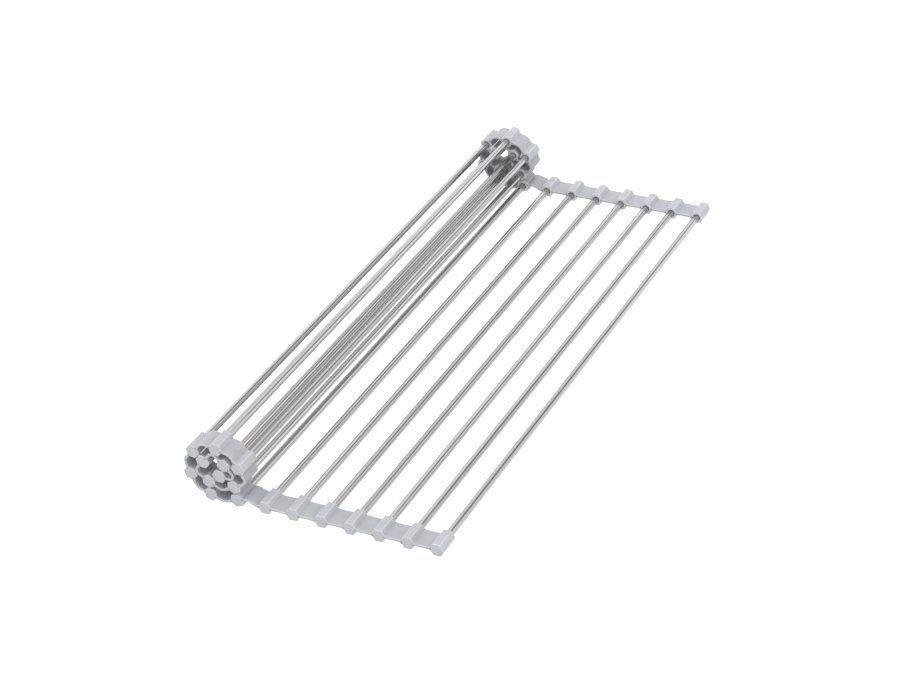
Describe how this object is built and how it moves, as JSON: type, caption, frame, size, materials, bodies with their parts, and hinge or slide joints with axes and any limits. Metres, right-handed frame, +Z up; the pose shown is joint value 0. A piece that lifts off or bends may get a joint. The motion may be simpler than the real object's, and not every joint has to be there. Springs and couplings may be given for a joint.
{
  "type": "roll-up drying rack",
  "caption": "Roll-up over-the-sink drying rack: parallel steel rods held in two flexible silicone end strips, shown half rolled.",
  "frame": {"origin": "on the surface the rack stands on, at the middle of its outline at rest", "axes": "+Y along the rods, +X across them from the coil towards the free end of the flat part, +Z up"},
  "size_m": [0.1822, 0.445, 0.0457],
  "materials": {
    "steel": "drawn stainless steel tube, satin with fine streaks along its length",
    "silicone": "matt moulded silicone, cool light grey"
  },
  "bodies": {
    "link_01": {"rod_01": "steel", "near_link_01": "silicone", "far_link_01": "silicone"},
    "link_02": {"rod_02": "steel", "near_link_02": "silicone", "far_link_02": "silicone"},
    "link_03": {"rod_03": "steel", "near_link_03": "silicone", "far_link_03": "silicone"},
    "link_04": {"rod_04": "steel", "near_link_04": "silicone", "far_link_04": "silicone"},
    "link_05": {"rod_05": "steel", "near_link_05": "silicone", "far_link_05": "silicone"},
    "link_06": {"rod_06": "steel", "near_link_06": "silicone", "far_link_06": "silicone"},
    "link_07": {"rod_07": "steel", "near_link_07": "silicone", "far_link_07": "silicone"},
    "link_08": {"rod_08": "steel", "near_link_08": "silicone", "far_link_08": "silicone"},
    "link_09": {"rod_09": "steel", "near_link_09": "silicone", "far_link_09": "silicone"},
    "link_10": {"rod_10": "steel", "near_link_10": "silicone", "far_link_10": "silicone"},
    "link_11": {"rod_11": "steel", "near_link_11": "silicone", "far_link_11": "silicone"},
    "link_12": {"rod_12": "steel", "near_link_12": "silicone", "far_link_12": "silicone"},
    "link_13": {"rod_13": "steel", "near_link_13": "silicone", "far_link_13": "silicone"},
    "link_14": {"rod_14": "steel", "near_link_14": "silicone", "far_link_14": "silicone"},
    "link_15": {"rod_15": "steel", "near_link_15": "silicone", "far_link_15": "silicone"},
    "link_16": {"rod_16": "steel", "near_link_16": "silicone", "far_link_16": "silicone"},
    "link_17": {"rod_17": "steel", "near_link_17": "silicone", "far_link_17": "silicone"},
    "link_18": {"rod_18": "steel", "near_link_18": "silicone", "far_link_18": "silicone"}
  },
  "joints": [
    {"name": "unroll", "type": "hinge", "parent": "link_08", "child": "link_09", "pos_m": [-0.06351, 0, 0.0021], "axis": [0, -1, 0], "range_deg": [0, 38]},
    {"name": "flex_07_08", "type": "hinge", "parent": "link_07", "child": "link_08", "pos_m": [-0.05566, 0, 0.00467], "axis": [0, 1, 0], "range_deg": [0, 19]},
    {"name": "flex_09_10", "type": "hinge", "parent": "link_09", "child": "link_10", "pos_m": [-0.08237, 0, 0.00877], "axis": [0, -1, 0], "range_deg": [0, 52]},
    {"name": "flex_10_11", "type": "hinge", "parent": "link_10", "child": "link_11", "pos_m": [-0.08877, 0, 0.02771], "axis": [0, -1, 0], "range_deg": [0, 62]},
    {"name": "flex_11_12", "type": "hinge", "parent": "link_11", "child": "link_12", "pos_m": [-0.07516, 0, 0.04236], "axis": [0, -1, 0], "range_deg": [0, 59]},
    {"name": "flex_12_13", "type": "hinge", "parent": "link_12", "child": "link_13", "pos_m": [-0.05557, 0, 0.03831], "axis": [0, -1, 0], "range_deg": [0, 50]},
    {"name": "flex_13_14", "type": "hinge", "parent": "link_13", "child": "link_14", "pos_m": [-0.0466, 0, 0.02043], "axis": [0, -1, 0], "range_deg": [0, 90]},
    {"name": "flex_14_15", "type": "hinge", "parent": "link_14", "child": "link_15", "pos_m": [-0.06408, 0, 0.01068], "axis": [0, -1, 0], "range_deg": [0, 57]},
    {"name": "flex_15_16", "type": "hinge", "parent": "link_15", "child": "link_16", "pos_m": [-0.08131, 0, 0.02085], "axis": [0, -1, 0], "range_deg": [0, 101]},
    {"name": "flex_16_17", "type": "hinge", "parent": "link_16", "child": "link_17", "pos_m": [-0.06851, 0, 0.03622], "axis": [0, -1, 0], "range_deg": [0, 95]},
    {"name": "flex_17_18", "type": "hinge", "parent": "link_17", "child": "link_18", "pos_m": [-0.0548, 0, 0.02165], "axis": [0, -1, 0], "range_deg": [0, 139]},
    {"name": "roll_up", "type": "hinge", "parent": "link_07", "child": "link_06", "pos_m": [-0.02392, 0, 0.0055], "axis": [0, -1, 0], "range_deg": [0, 97]},
    {"name": "flex_06_05", "type": "hinge", "parent": "link_06", "child": "link_05", "pos_m": [-0.00392, 0, 0.00464], "axis": [0, -1, 0], "range_deg": [0, 24]},
    {"name": "flex_05_04", "type": "hinge", "parent": "link_05", "child": "link_04", "pos_m": [0.01608, 0, 0.00464], "axis": [0, -1, 0], "range_deg": [0, 24]},
    {"name": "flex_04_03", "type": "hinge", "parent": "link_04", "child": "link_03", "pos_m": [0.03608, 0, 0.0047], "axis": [0, -1, 0], "range_deg": [0, 29]},
    {"name": "flex_03_02", "type": "hinge", "parent": "link_03", "child": "link_02", "pos_m": [0.05608, 0, 0.0047], "axis": [0, -1, 0], "range_deg": [0, 29]},
    {"name": "flex_02_01", "type": "hinge", "parent": "link_02", "child": "link_01", "pos_m": [0.07608, 0, 0.00491], "axis": [0, -1, 0], "range_deg": [0, 48]}
  ],
  "couplings": [
    {"joint": "flex_07_08", "follows": "unroll", "ratio": 0.5},
    {"joint": "flex_09_10", "follows": "unroll", "ratio": 1.3684},
    {"joint": "flex_10_11", "follows": "unroll", "ratio": 1.6316},
    {"joint": "flex_11_12", "follows": "unroll", "ratio": 1.5526},
    {"joint": "flex_12_13", "follows": "unroll", "ratio": 1.3158},
    {"joint": "flex_13_14", "follows": "unroll", "ratio": 2.3684},
    {"joint": "flex_14_15", "follows": "unroll", "ratio": 1.5},
    {"joint": "flex_15_16", "follows": "unroll", "ratio": 2.6579},
    {"joint": "flex_16_17", "follows": "unroll", "ratio": 2.5},
    {"joint": "flex_17_18", "follows": "unroll", "ratio": 3.6579},
    {"joint": "flex_06_05", "follows": "roll_up", "ratio": 0.24742},
    {"joint": "flex_05_04", "follows": "roll_up", "ratio": 0.24742},
    {"joint": "flex_04_03", "follows": "roll_up", "ratio": 0.29897},
    {"joint": "flex_03_02", "follows": "roll_up", "ratio": 0.29897},
    {"joint": "flex_02_01", "follows": "roll_up", "ratio": 0.49484}
  ]
}
